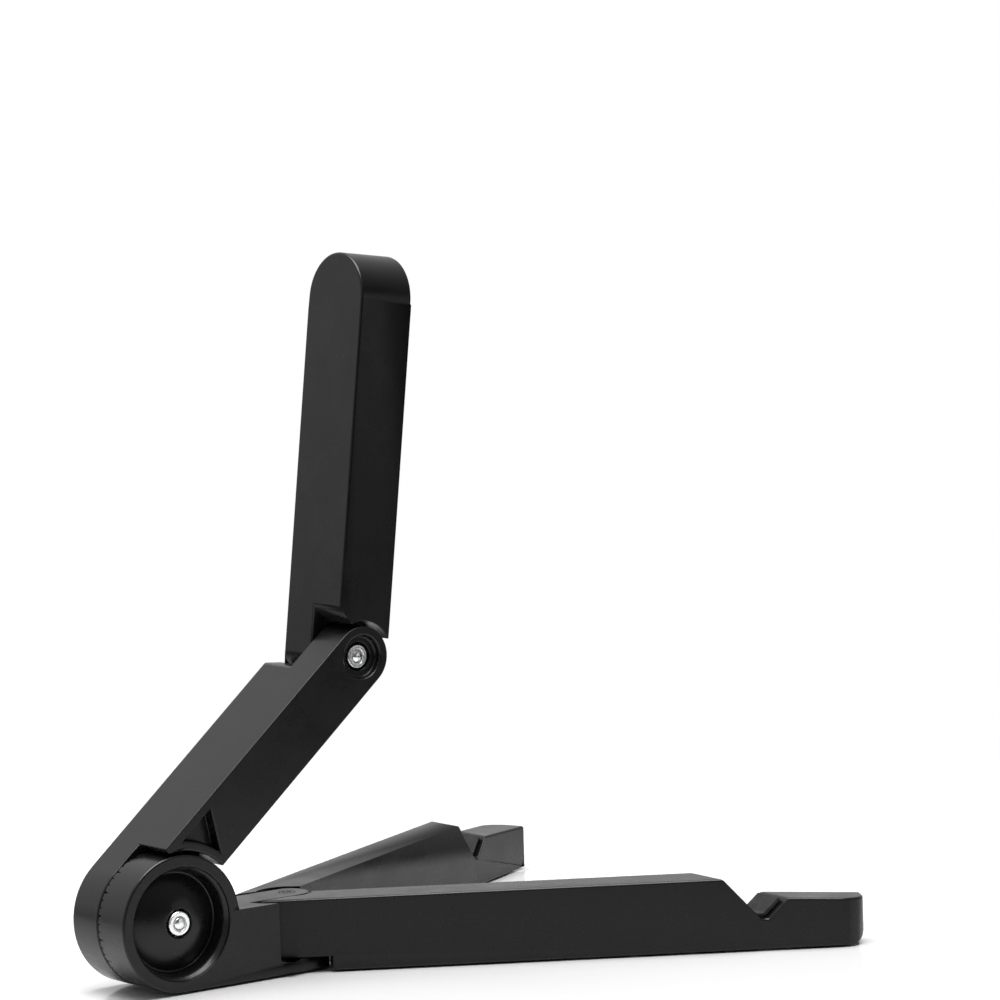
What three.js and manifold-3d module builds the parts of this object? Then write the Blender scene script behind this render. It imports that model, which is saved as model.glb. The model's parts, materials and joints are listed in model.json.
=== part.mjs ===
// Folding tablet stand. A base block carries two legs that open in a V, a lower arm and an upper arm.
// Folded, both arms lie over the closed legs and make one slim bar. +Z is up and the legs point towards -Y.
// The origin is the centre of the base's rubber foot, on the surface that the stand rests on.

import * as THREE from "three";
import { mergeVertices } from "three/addons/utils/BufferGeometryUtils.js";
import Module from "manifold-3d";

// ---------------------------------------------------------------------------------------------------
// Driving dimensions, in millimetres and degrees
// ---------------------------------------------------------------------------------------------------

// Overall sizes
const bodyWidth = 20.8; // base, lower arm and upper arm, along X
const discRadius = 15.4; // round cheeks of the base hinge
const barThickness = 13.9; // both arms, front face to back face
const lowerArmLength = 74; // base hinge to elbow
const upperArmLength = 91; // elbow to the rounded end
const legLength = 131; // leg pivot to the tip
const pivotToBaseHinge = 35.35; // leg pivot to base hinge, along Y

// Pose as it stands
const lowerArmLean = 50; // from upright, towards the legs
const upperArmLean = 7.3;
const leftLegAngle = 32.4; // from the centre plane
const rightLegAngle = 28;
const legStopAngle = 33; // where a leg's root meets the side of the tongue

// Gaps and walls
const seamGap = 0.4; // between the two halves of a hinge
const seat = 0.3; // between two pieces that touch
const stackGap = 0.3; // between the folded arms and the legs
const legGap = 0.8; // between the closed legs
const footProud = 0.4; // rubber feet stand this far below the plastic
const wall = 2; // moulded walls
const rib = 1.4; // moulded cross ribs and middle ribs
const cellLength = 14; // longest hollow between two cross ribs
const padThickness = 1.2; // rubber feet and pads

// Base hinge
const baseReliefGap = 0.8; // round relief beyond the disc
const reliefStep = 8.3; // the relief's straight step, measured along the bar from the hinge
const cupRadius = 12.75;
const cupLip = 0.5; // depth where the bevel starts
const cupBevelRadius = 11.9;
const cupBevelDepth = 1.3;
const cupFloorRadius = 11.2;
const cupFloorDepth = 4.6;
const domeRadius = 3.6; // where the dome in the cup meets the nut's pocket
const domeDepth = 0.9;
const baseNutDepth = 0.9; // nut face below the cheek, level with the dome
const toothCount = 54;
const toothDepth = 1;
const toothInnerRadius = 12.4;
const cheekCoreInner = 5.2; // ring-shaped hollow behind the dome
const cheekCoreOuter = 10.4;
const cheekCoreDepth = 3.6;

// Elbow
const elbowReliefGap = 1.25;
const elbowReliefStart = 10.8; // relief's edge on the back face, measured from the elbow
const elbowRecessRadius = 4.9;
const elbowRecessDepth = 1.8;
const elbowNutDepth = 1.9;

// Hinge hardware
const boltRadius = 1.5;
const boreClearance = 0.15;
const nutAcrossFlats = 5.5;
const nutHeight = 4;
const nutCollarHeight = 1.4;
const nutCollarRadius = 2.75;
const nutClearance = 0.2;
const boltHeadRadius = 2.75;
const boltHeadHeight = 2.2;
const socketAcrossFlats = 2;
const socketDepth = 1.3;
const washerRadius = 3;
const washerThickness = 0.5;
const springRadius = 3.9;
const springThickness = 0.4;
const springCone = 0.5; // height of the cone of a spring washer

// Leg pivot
const plateThickness = 3.1; // lower plate of the base
const tongueThickness = 3.2; // upper tongue of the base
const tongueHalfWidth = 4.9;
const tongueClearance = 0.35;
const noseReach = 8.9; // front of the lower plate, from the leg pivot
const rootOverhang = 2; // round root of a leg, beyond half the body's width
const rootSlot = 1.6; // between the legs' round roots and the hollow front of the base
const knuckleRadius = 7;
const knuckleClearance = 0.4;
const pivotRadius = 1.7;
const pivotHeadRadius = 3.2;
const pivotHeadHeight = 1;
const pivotWasherRadius = 5.5;

// Leg
const crestToTip = 32.8; // from the crest of the notch to the leg's tip, on the outer side
const notchDepth = 9.5; // below the top of the leg
const notchSlopeLength = 8.7; // from the crest to the notch's floor, along the leg
const notchFloorLength = 1.9;
const notchSkew = 28; // the two notches lie in line when each leg is this far open
const hookHeight = 4.5; // above the notch's floor
const hookTipHeight = 2.5;
const tipRounding = 3.5; // lower edge of the tip
const tipCorner = 6; // outer corner of the tip, seen from above
const stepClearance = 0.2;
const notchPadThickness = 0.8;
const notchPadWidth = 7;

// Side pocket in the lower arm
const pocketWall = 2.1;
const pocketTopLength = 10;
const pocketFoot = 2.7; // the pocket's lowest corner above the front face
const pocketDepth = 3;

// Feet and pads
const baseFootLength = 15;
const baseFootWidth = 9;
const pivotToFoot = 20.15;
const legFootLength = 13;
const legFootWidth = 5.5;
const legFootToTip = 10.3; // foot centre to the leg's tip
const armPadLength = 11;
const armPadWidth = 9;
const armPadToEnd = 10.5; // pad centre to the end of the upper arm
const armPadProud = 0.2; // less than the gap under the folded arms

// ---------------------------------------------------------------------------------------------------
// Sizes that follow
// ---------------------------------------------------------------------------------------------------

const radians = THREE.MathUtils.degToRad;
const degrees = THREE.MathUtils.radToDeg;

const halfWidth = bodyWidth / 2;
const bottom = footProud; // underside of the plastic
const hingeHeight = bottom + discRadius;
const legTop = hingeHeight + discRadius - barThickness - stackGap;
const plateTop = bottom + plateThickness;
const tongueBottom = legTop - tongueThickness;
const barBack = discRadius; // the arms' back face, measured from the base hinge
const barFront = barBack - barThickness;
const elbowOffset = barBack - barThickness / 2;
const baseRelief = discRadius + baseReliefGap;
const elbowRelief = barThickness / 2 + elbowReliefGap;
const boreRadius = boltRadius + boreClearance;
const pivotBore = pivotRadius + boreClearance;
const rootRadius = halfWidth + rootOverhang;
const frontRadius = rootRadius + rootSlot; // hollow front of the base
const stepStart = noseReach + stepClearance; // where a leg comes down beside the plate
const washerLayer = washerThickness + 2 * seat;
const knuckleSplit = (plateTop + tongueBottom) / 2;
const crest = legLength - crestToTip;
const notchFloor = legTop - notchDepth;
const notchShift = Math.tan(radians(notchSkew)); // along the leg for each millimetre across it

const fineStep = 5; // degrees between the points of a large arc
const coarseStep = 12; // and of a small one
const beyond = 1; // cutters reach this far past the surface that they cut

// ---------------------------------------------------------------------------------------------------
// Solids
// ---------------------------------------------------------------------------------------------------

const wasm = await Module();
wasm.setup();

// A closed geometry as a solid. Triangles that have shrunk to a line are dropped and the faces turned outwards.
function solid(geometry) {
  const bare = geometry.clone();
  bare.deleteAttribute("normal");
  bare.deleteAttribute("uv");
  const merged = mergeVertices(bare, 1e-4);
  const index = merged.index.array;
  const kept = [];
  for (let i = 0; i < index.length; i += 3) {
    const [a, b, c] = index.slice(i, i + 3);
    if (a !== b && b !== c && c !== a) kept.push(a, b, c);
  }
  const vertProperties = merged.attributes.position.array;
  const made = new wasm.Manifold(new wasm.Mesh({ numProp: 3, vertProperties, triVerts: new Uint32Array(kept) }));
  if (made.volume() >= 0) return made;
  return new wasm.Manifold(
    new wasm.Mesh({ numProp: 3, vertProperties, triVerts: new Uint32Array(kept.reverse()) }),
  );
}

const join = (...solids) => solids.reduce((a, b) => a.add(b));
const cut = (body, ...tools) => tools.reduce((a, b) => a.subtract(b), body);

// Points of an arc about (u, v), from one angle to another, in degrees.
function arc(u, v, radius, from, to, step = fineStep) {
  const count = Math.max(2, Math.ceil(Math.abs(to - from) / step));
  return Array.from({ length: count + 1 }, (_, i) => {
    const angle = radians(from + ((to - from) * i) / count);
    return new THREE.Vector2(u + radius * Math.cos(angle), v + radius * Math.sin(angle));
  });
}

const circle = (u, v, radius, step = fineStep) => arc(u, v, radius, 0, 360, step).slice(0, -1);
const point = (u, v) => new THREE.Vector2(u, v);
const rectangle = (u0, u1, v0, v1) => [point(u0, v0), point(u1, v0), point(u1, v1), point(u0, v1)];

// A slot-shaped outline with round ends, longer along u.
function obround(u, v, length, width) {
  const r = width / 2;
  const reach = length / 2 - r;
  return [...arc(u + reach, v, r, -90, 90, coarseStep), ...arc(u - reach, v, r, 90, 270, coarseStep)];
}

function hexagon(u, v, acrossFlats) {
  return circle(u, v, acrossFlats / Math.sqrt(3), 60);
}

function extrude(points, depth) {
  return new THREE.ExtrudeGeometry(new THREE.Shape(points), { depth, bevelEnabled: false });
}

// An outline in Y and Z, from x0 to x1. It lies as given at x = 0 and moves along Y by `shift` for each
// millimetre of X.
function prismX(points, x0, x1, shift = 0) {
  const axes = new THREE.Matrix4().makeBasis(
    new THREE.Vector3(0, 1, 0),
    new THREE.Vector3(0, 0, 1),
    new THREE.Vector3(1, shift, 0),
  );
  return solid(extrude(points, x1 - x0).applyMatrix4(axes).translate(x0, x0 * shift, 0));
}

// An outline in X and Z, from y0 to y1.
function prismY(points, y0, y1) {
  return solid(extrude(points, y1 - y0).rotateX(Math.PI / 2).translate(0, y1, 0));
}

// An outline in X and Y, from z0 to z1.
function prismZ(points, z0, z1) {
  return solid(extrude(points, z1 - z0).translate(0, 0, z0));
}

function box(x0, x1, y0, y1, z0, z1) {
  return prismZ(rectangle(x0, x1, y0, y1), z0, z1);
}

// A profile of [radius, x] pairs turned about a line along X through (y, z).
function turnedX(profile, y = 0, z = 0, step = fineStep) {
  const points = profile.map(([radius, x]) => point(radius, x));
  return solid(new THREE.LatheGeometry(points, Math.round(360 / step)).rotateZ(-Math.PI / 2).translate(0, y, z));
}

// A profile of [radius, z] pairs turned about the Z axis.
function turnedZ(profile, step = coarseStep) {
  const points = profile.map(([radius, z]) => point(radius, z));
  return solid(new THREE.LatheGeometry(points, Math.round(360 / step)).rotateX(Math.PI / 2));
}

// Rectangular hollows in a row along Z, cut from the front, with a rib between each two.
function frontCells(from, to, front, back) {
  const rows = Math.ceil((to - from + rib) / (cellLength + rib));
  const length = (to - from + rib) / rows - rib;
  return Array.from({ length: rows }, (_, i) => from + i * (length + rib)).flatMap((z) => [
    box(-halfWidth + wall, -rib / 2, front - beyond, back - wall, z, z + length),
    box(rib / 2, halfWidth - wall, front - beyond, back - wall, z, z + length),
  ]);
}

// ---------------------------------------------------------------------------------------------------
// Hinge features shared by the pieces
// ---------------------------------------------------------------------------------------------------

// Everything below is for a cheek on the side of X given by `side`, and x(depth) is a depth below its face.
const faceX = (side) => (depth) => side * (halfWidth - depth);

// The cup in a cheek of the base hinge: a bevelled mouth, a steep wall and a low dome around the bolt.
function cupCutter(side, y, z) {
  const x = faceX(side);
  const rise = cupFloorDepth - domeDepth;
  const sphere = (cupFloorRadius ** 2 + rise ** 2) / (2 * rise);
  const dome = [0.25, 0.5, 0.75, 1].map((share) => {
    const r = cupFloorRadius + (domeRadius - cupFloorRadius) * share;
    return [r, x(domeDepth + sphere - Math.sqrt(sphere ** 2 - r ** 2))];
  });
  return turnedX(
    [
      [0, x(-beyond)],
      [cupRadius, x(-beyond)],
      [cupRadius, x(cupLip)],
      [cupBevelRadius, x(cupBevelDepth)],
      [cupFloorRadius, x(cupFloorDepth)],
      ...dome,
      [0, dome[dome.length - 1][1]],
    ],
    y,
    z,
  );
}

// A hexagonal pocket that holds the nut, with a round mouth beside its collar, and a round pocket that the
// bolt's head turns in.
function nutPocket(side, y, z, faceDepth) {
  const x = faceX(side);
  const shoulder = faceDepth + nutCollarHeight;
  const ends = [x(shoulder - seat), x(faceDepth + nutHeight + washerLayer)].sort((a, b) => a - b);
  return join(
    prismX(hexagon(y, z, nutAcrossFlats + 2 * nutClearance), ...ends),
    roundPocket(side, y, z, (nutAcrossFlats + nutClearance) / Math.sqrt(3), shoulder),
  );
}

function roundPocket(side, y, z, radius, depth) {
  const x = faceX(side);
  const ends = [x(-beyond), x(depth)].sort((a, b) => a - b);
  return prismX(circle(y, z, radius, coarseStep), ...ends);
}

const headPocket = (side, y, z, faceDepth) =>
  roundPocket(side, y, z, washerRadius + nutClearance, faceDepth + boltHeadHeight + washerLayer);

const bore = (y, z) => prismX(circle(y, z, boreRadius, coarseStep), -halfWidth - beyond, halfWidth + beyond);

// The seat of a spring washer, sunk into the inner face of the cheek at +X.
const springSeat = (y, z) =>
  prismX(circle(y, z, springRadius + seat, coarseStep), 0, seamGap / 2 + springThickness + springCone);

// The hollow behind the dome, open at the seam.
function cheekCore(side, y, z) {
  const ends = [side * cheekCoreDepth, 0].sort((a, b) => a - b);
  return cut(
    prismX(circle(y, z, cheekCoreOuter), ...ends),
    prismX(circle(y, z, cheekCoreInner, coarseStep), ends[0] - beyond, ends[1] + beyond),
  );
}

// Radial grooves between the detent teeth on the inner face of the base's cheek.
function toothGrooves(y, z) {
  const halfPitch = (Math.PI * discRadius) / toothCount / 2;
  const groove = extrude(
    [point(-halfPitch, beyond), point(0, -toothDepth), point(halfPitch, beyond)],
    discRadius + beyond - toothInnerRadius,
  );
  const axes = new THREE.Matrix4().makeBasis(
    new THREE.Vector3(0, 1, 0),
    new THREE.Vector3(1, 0, 0),
    new THREE.Vector3(0, 0, -1),
  );
  groove.applyMatrix4(axes).translate(0, 0, -toothInnerRadius);
  return Array.from({ length: toothCount }, (_, i) =>
    solid(
      groove
        .clone()
        .rotateX(radians((i * 360) / toothCount))
        .translate(-seamGap / 2, y, z),
    ),
  );
}

// The relief around the elbow, as points from the back face to the front face. `along` is the distance from
// the elbow and `across` the distance behind its axis: a 45 degree slope, then an arc about the axis.
function elbowReliefPoints() {
  const back = barThickness / 2;
  const gap = elbowReliefStart - back;
  const slope = (elbowReliefStart + back - Math.sqrt(2 * elbowRelief ** 2 - gap ** 2)) / 2;
  const from = degrees(Math.atan2(back - slope, elbowReliefStart - slope));
  const to = -degrees(Math.asin(back / elbowRelief));
  const start = { along: elbowReliefStart, across: back };
  return [start, ...arc(0, 0, elbowRelief, from, to).map((p) => ({ along: p.x, across: p.y }))];
}

// ---------------------------------------------------------------------------------------------------
// Pieces
// ---------------------------------------------------------------------------------------------------

// The base block, in a frame whose origin is on the leg pivot's axis.
function baseHub() {
  const y = pivotToBaseHinge;
  const z = hingeHeight;
  const body = join(
    cut(
      box(-halfWidth, halfWidth, 0, y, bottom, legTop),
      prismZ(circle(0, 0, frontRadius), plateTop, tongueBottom),
      cut(prismZ(circle(0, 0, frontRadius), tongueBottom - beyond, legTop + beyond), tongue(beyond)),
    ),
    prismZ(noseOutline(), bottom, plateTop),
    tongue(0),
    prismX(circle(y, z, discRadius), -halfWidth, -seamGap / 2),
  );
  return cut(
    body,
    prismX(circle(y, z, baseRelief), -seamGap / 2, halfWidth + beyond),
    box(-seamGap / 2, halfWidth + beyond, y - reliefStep, y + discRadius, bottom - beyond, legTop + beyond),
    cupCutter(-1, y, z),
    nutPocket(-1, y, z, baseNutDepth),
    bore(y, z),
    cheekCore(-1, y, z),
    ...toothGrooves(y, z),
    prismZ(circle(0, 0, pivotBore, coarseStep), bottom - beyond, legTop + beyond),
    prismZ(circle(0, 0, pivotHeadRadius + seat, coarseStep), bottom - beyond, bottom + pivotHeadHeight + seat),
    prismZ(
      obround(0, pivotToFoot, baseFootLength + 2 * seat, baseFootWidth + 2 * seat),
      bottom - beyond,
      bottom - footProud + padThickness + seat,
    ),
  );
}

// The front of the lower plate: what both legs' steps leave of it as they swing. It is round about the pivot
// and runs straight to the sides along the steps of the open legs.
function noseOutline() {
  const open = radians(legStopAngle);
  const corner = (noseReach - halfWidth * Math.sin(open)) / Math.cos(open);
  return [
    point(-halfWidth, beyond),
    point(-halfWidth, -corner),
    ...arc(0, 0, noseReach, 270 - legStopAngle, 270 + legStopAngle),
    point(halfWidth, -corner),
    point(halfWidth, beyond),
  ];
}

// The tongue over the leg pivot, with a round end.
function tongue(extra) {
  const outline = [
    ...arc(0, 0, tongueHalfWidth, 180, 360),
    point(tongueHalfWidth, frontRadius),
    point(-tongueHalfWidth, frontRadius),
  ];
  return prismZ(outline, tongueBottom - 2 * extra, legTop + 2 * extra);
}

// A leg, closed and pointing along -Y. `side` is -1 for the left leg and 1 for the right one, and
// `layer` says which of the two knuckles on the pivot is its own: "upper" or "lower".
function leg(side, layer) {
  const inner = legGap / 2;
  const u = (points) => points.map((p) => point(side * p.x, p.y));
  const turned = (offset) => degrees(Math.acos(offset / rootRadius));
  const outline = [
    point(inner, -legLength),
    ...arc(halfWidth - tipCorner, tipCorner - legLength, tipCorner, -90, 0, coarseStep),
    ...arc(0, 0, rootRadius, turned(halfWidth), turned(inner)),
  ];
  // The middle plane and the tongue's side, as they lie against the leg when it is fully open.
  const open = radians(legStopAngle);
  const behind = (offset) => {
    const start = point(offset * Math.cos(open), -offset * Math.sin(open));
    const end = point(start.x + bodyWidth * Math.sin(open), start.y + bodyWidth * Math.cos(open));
    return u([start, end, point(-bodyWidth, end.y), point(-bodyWidth, start.y)]);
  };
  const own =
    layer === "upper"
      ? [knuckleSplit + washerLayer / 2, tongueBottom - seat]
      : [plateTop + seat, knuckleSplit - washerLayer / 2];
  const other =
    layer === "upper"
      ? [bottom - beyond, knuckleSplit + washerLayer / 2]
      : [knuckleSplit - washerLayer / 2, legTop + beyond];
  const shell = cut(
    prismZ(u(outline), bottom, legTop),
    prismZ(behind(inner), bottom - beyond, legTop + beyond),
    prismZ(behind(tongueHalfWidth + tongueClearance), tongueBottom - seat, legTop + beyond),
    prismZ(circle(0, 0, tongueHalfWidth + 2 * tongueClearance), tongueBottom - seat, legTop + beyond),
    prismZ(circle(0, 0, knuckleRadius + knuckleClearance), ...other),
    box(-bodyWidth, bodyWidth, -stepStart, bodyWidth, bottom - beyond, plateTop + seat),
    acrossLeg(side, notchOutline(), -beyond, halfWidth + beyond),
    prismX(tipUnderside(), -bodyWidth, bodyWidth),
  );
  return cut(
    join(shell, prismZ(circle(0, 0, knuckleRadius), ...own)),
    prismZ(circle(0, 0, pivotBore, coarseStep), bottom, legTop),
    ...legCells(side),
    prismZ(
      obround(0, 0, legFootLength + 2 * seat, legFootWidth + 2 * seat).map((p) =>
        point(p.y + side * legMiddle(), p.x + legFootToTip - legLength),
      ),
      bottom - beyond,
      bottom - footProud + padThickness + seat,
    ),
  );
}

const legMiddle = () => (halfWidth + legGap / 2) / 2;

// An outline in Y and Z on the outer side of a leg, carried across it between two distances from the middle.
function acrossLeg(side, outline, from, to) {
  const ends = [side * from, side * to].sort((a, b) => a - b);
  const middle = outline.map((p) => point(p.x + halfWidth * notchShift, p.y));
  return prismX(middle, ...ends, -side * notchShift);
}

// What the notch and the low hook take away from a leg's top, in Y and Z.
function notchOutline() {
  const floorStart = crest + notchSlopeLength;
  const floorEnd = floorStart + notchFloorLength;
  return [
    point(-crest, legTop),
    point(-floorStart, notchFloor),
    point(-floorEnd, notchFloor),
    point(-floorEnd - hookHeight, notchFloor + hookHeight),
    point(-legLength - bodyWidth, notchFloor + hookTipHeight),
    point(-legLength - bodyWidth, legTop + beyond),
    point(-crest, legTop + beyond),
  ];
}

// The lower edge of the tip is round.
function tipUnderside() {
  return [
    point(-legLength - beyond, bottom - beyond),
    point(-legLength + tipRounding, bottom - beyond),
    ...arc(-legLength + tipRounding, bottom + tipRounding, tipRounding, 270, 180, coarseStep),
    point(-legLength - beyond, bottom + tipRounding),
  ];
}

// Hollows under a leg: a row of deep ones up to the crest and a shallow one under the notch.
function legCells(side) {
  const from = stepStart + wall;
  const to = crest - (halfWidth - legGap / 2) * notchShift - wall;
  const rows = Math.ceil((to - from + rib) / (cellLength + rib));
  const length = (to - from + rib) / rows - rib;
  const edges = [side * (legGap / 2 + wall), side * (halfWidth - wall)].sort((a, b) => a - b);
  const deep = Array.from({ length: rows }, (_, i) => {
    const start = from + i * (length + rib);
    return box(...edges, -start - length, -start, bottom - beyond, legTop - wall);
  });
  const shallow = box(
    ...edges,
    -crest - notchSlopeLength,
    -to - rib,
    bottom - beyond,
    notchFloor - wall,
  );
  return [...deep, shallow];
}

// A rubber lining on the notch's floor and on the hook's slope.
function notchPad(side) {
  const start = crest + notchSlopeLength;
  const floorEnd = start + notchFloorLength;
  const level = notchFloor + seat;
  const t = notchPadThickness;
  const corner = Math.tan(radians(22.5));
  const rise = hookHeight - t;
  const outline = [
    point(-start, level),
    point(-floorEnd + seat * corner, level),
    point(-floorEnd + seat * corner - rise, level + rise),
    point(-floorEnd + seat * corner - rise + t * Math.SQRT1_2, level + rise + t * Math.SQRT1_2),
    point(-floorEnd + (seat + t) * corner, level + t),
    point(-start, level + t),
  ];
  return acrossLeg(side, outline, legMiddle() - notchPadWidth / 2, legMiddle() + notchPadWidth / 2);
}

const pad = (points, top) => prismZ(points, top - padThickness, top);
const baseFoot = () => pad(obround(0, pivotToFoot, baseFootLength, baseFootWidth), padThickness);

function legFoot(side) {
  const outline = obround(0, 0, legFootLength, legFootWidth).map((p) =>
    point(p.y + side * legMiddle(), p.x + legFootToTip - legLength),
  );
  return pad(outline, padThickness);
}

// The lower arm, upright: the base hinge is at the origin, +Z runs to the elbow and +Y is the back.
function lowerArm() {
  const frontCorner = Math.sqrt(baseRelief ** 2 - barFront ** 2);
  const reliefFrom = degrees(Math.atan2(frontCorner, barFront));
  const reliefTo = degrees(Math.asin(reliefStep / baseRelief));
  const discRelief = [...arc(0, 0, baseRelief, reliefFrom, reliefTo), point(barBack, reliefStep)];
  const elbowCutout = elbowReliefPoints().map((p) => point(elbowOffset + p.across, lowerArmLength - p.along));
  const discTop = degrees(Math.acos(barFront / discRadius));
  const left = [...arc(elbowOffset, lowerArmLength, barThickness / 2, 0, 180), ...discRelief];
  const right = [...elbowCutout, ...arc(0, 0, discRadius, discTop, 360)];
  const middle = [...elbowCutout, ...discRelief];
  const body = join(
    prismX(left, -halfWidth, -seamGap / 2),
    prismX(right, seamGap / 2, halfWidth),
    prismX(middle, -seamGap / 2 - rib / 2, seamGap / 2 + rib / 2),
  );
  return cut(
    body,
    cupCutter(1, 0, 0),
    headPocket(1, 0, 0, baseNutDepth),
    bore(0, 0),
    cheekCore(1, 0, 0),
    springSeat(0, 0),
    roundPocket(-1, elbowOffset, lowerArmLength, elbowRecessRadius, elbowRecessDepth),
    nutPocket(-1, elbowOffset, lowerArmLength, elbowNutDepth),
    bore(elbowOffset, lowerArmLength),
    sidePocket(),
    ...frontCells(
      baseRelief + pocketTopLength,
      lowerArmLength - elbowReliefStart - wall,
      barFront,
      barBack,
    ),
  );
}

// The three-cornered pocket in the left side of the lower arm. Its lowest side follows the relief.
function sidePocket() {
  const radius = baseRelief + pocketWall;
  const top = barBack - pocketWall;
  const foot = barFront + pocketFoot;
  const from = degrees(Math.atan2(Math.sqrt(radius ** 2 - top ** 2), top));
  const to = degrees(Math.acos(foot / radius));
  const corner = Math.sqrt(radius ** 2 - top ** 2) + pocketTopLength;
  return prismX([...arc(0, 0, radius, from, to), point(top, corner)], -halfWidth - beyond, -halfWidth + pocketDepth);
}

// The upper arm, upright: the elbow is at the origin, +Z runs to the round end and +Y is the back.
function upperArm() {
  const half = barThickness / 2;
  const relief = elbowReliefPoints().map((p) => point(p.across, p.along));
  const left = [point(half, upperArmLength), point(-half, upperArmLength), ...relief.slice().reverse()];
  const right = [point(half, upperArmLength), point(-half, upperArmLength), ...arc(0, 0, half, 180, 360)];
  const roundEnd = [
    ...arc(0, upperArmLength - halfWidth, halfWidth, 0, 180),
    point(-halfWidth, -barThickness),
    point(halfWidth, -barThickness),
  ];
  const padSeat = obround(0, 0, armPadLength + 2 * seat, armPadWidth + 2 * seat).map((p) =>
    point(p.x, p.y + upperArmLength - armPadToEnd),
  );
  return cut(
    join(prismX(left, -halfWidth, seamGap), prismX(right, seamGap / 2, halfWidth)).intersect(
      prismY(roundEnd, -barThickness, barThickness),
    ),
    roundPocket(1, 0, 0, elbowRecessRadius, elbowRecessDepth),
    headPocket(1, 0, 0, elbowNutDepth),
    bore(0, 0),
    springSeat(0, 0),
    ...frontCells(
      elbowReliefStart + wall,
      upperArmLength - armPadToEnd - armPadWidth / 2 - wall,
      -half,
      half,
    ),
    prismY(padSeat, -half - beyond, -half - armPadProud + padThickness + seat),
  );
}

// The rubber pad on the front of the upper arm, which the tablet leans on.
function armPad() {
  const outline = obround(0, 0, armPadLength, armPadWidth).map((p) =>
    point(p.x, p.y + upperArmLength - armPadToEnd),
  );
  const face = -barThickness / 2 - armPadProud;
  return prismY(outline, face, face + padThickness);
}

// ---------------------------------------------------------------------------------------------------
// Hinge hardware, about a line along X through the origin
// ---------------------------------------------------------------------------------------------------

// Lock nut at -X, its face at a depth below the cheek: a hexagon and a round collar over the insert.
function lockNut(faceDepth) {
  const x = faceX(-1)(faceDepth);
  const collarEnd = x + nutCollarHeight;
  return cut(
    join(
      prismX(hexagon(0, 0, nutAcrossFlats), collarEnd, x + nutHeight),
      turnedX(
        [
          [0, x],
          [nutCollarRadius - 0.4, x],
          [nutCollarRadius, x + 0.4],
          [nutCollarRadius, collarEnd + 0.2],
          [0, collarEnd + 0.2],
        ],
        0,
        0,
        coarseStep,
      ),
    ),
    prismX(circle(0, 0, boreRadius, coarseStep), x - beyond, x + nutHeight + beyond),
  );
}

// A flat washer between x0 and x0 + thickness.
function washer(x0, radius = washerRadius, hole = boreRadius) {
  return cut(
    prismX(circle(0, 0, radius, coarseStep), x0, x0 + washerThickness),
    prismX(circle(0, 0, hole, coarseStep), x0 - beyond, x0 + washerThickness + beyond),
  );
}

// The bolt: its button head is at +X and its end is level with the nut's face.
function bolt(headDepth, nutDepth) {
  const face = faceX(1)(headDepth);
  const under = face - boltHeadHeight;
  const end = faceX(-1)(nutDepth);
  return cut(
    turnedX(
      [
        [0, face],
        [boltHeadRadius * 0.6, face],
        [boltHeadRadius * 0.9, face - boltHeadHeight * 0.35],
        [boltHeadRadius, face - boltHeadHeight * 0.75],
        [boltHeadRadius, under],
        [boltRadius, under],
        [boltRadius, end + 0.3],
        [boltRadius - 0.3, end],
        [0, end],
      ],
      0,
      0,
      coarseStep,
    ),
    prismX(hexagon(0, 0, socketAcrossFlats), face - socketDepth, face + beyond),
  );
}

// A coned spring washer in its seat at the seam, wide end towards +X.
function springWasher() {
  const x = seamGap / 2;
  return turnedX(
    [
      [boreRadius, x],
      [springRadius, x + springCone - seat],
      [springRadius, x + springCone - seat + springThickness],
      [boreRadius, x + springThickness],
      [boreRadius, x],
    ],
    0,
    0,
    coarseStep,
  );
}

// The pin of the leg pivot: a flat head in the plate's underside, its upper end level with the tongue.
function pivotPin() {
  const head = bottom + seat / 2;
  return turnedZ([
    [0, head],
    [pivotHeadRadius, head],
    [pivotHeadRadius, head + pivotHeadHeight],
    [pivotRadius, head + pivotHeadHeight],
    [pivotRadius, legTop - 0.3],
    [pivotRadius - 0.3, legTop],
    [0, legTop],
  ]);
}

function pivotWasher() {
  const z = knuckleSplit - washerThickness / 2;
  return cut(
    prismZ(circle(0, 0, pivotWasherRadius, coarseStep), z, z + washerThickness),
    prismZ(circle(0, 0, pivotBore, coarseStep), z - beyond, z + washerThickness + beyond),
  );
}

// ---------------------------------------------------------------------------------------------------
// Materials and assembly
// ---------------------------------------------------------------------------------------------------

const blackPlastic = new THREE.MeshStandardMaterial({ color: 0x1b1b1c, roughness: 0.55, metalness: 0 });
const rubber = new THREE.MeshStandardMaterial({ color: 0x101011, roughness: 0.9, metalness: 0 });
const zinc = new THREE.MeshStandardMaterial({ color: 0xd9dbdd, roughness: 0.25, metalness: 1 });
const springSteel = new THREE.MeshStandardMaterial({ color: 0x8f9296, roughness: 0.4, metalness: 1 });
const nylon = new THREE.MeshStandardMaterial({ color: 0xe6e4dc, roughness: 0.5, metalness: 0 });

// Puts a solid into a group as a named mesh.
function piece(group, name, body, material) {
  const made = body.getMesh();
  const count = made.vertProperties.length / made.numProp;
  const positions = new Float32Array(count * 3);
  for (let i = 0; i < count; i++) {
    positions.set(made.vertProperties.subarray(i * made.numProp, i * made.numProp + 3), i * 3);
  }
  const geometry = new THREE.BufferGeometry();
  geometry.setAttribute("position", new THREE.BufferAttribute(positions, 3));
  geometry.setIndex(new THREE.BufferAttribute(made.triVerts, 1));
  geometry.computeVertexNormals();
  const mesh = new THREE.Mesh(geometry, material);
  mesh.name = name;
  group.add(mesh);
}

function subgroup(parent, position, turn) {
  const group = new THREE.Group();
  group.position.set(...position);
  group.rotation.set(...turn);
  parent.add(group);
  return group;
}

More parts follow.
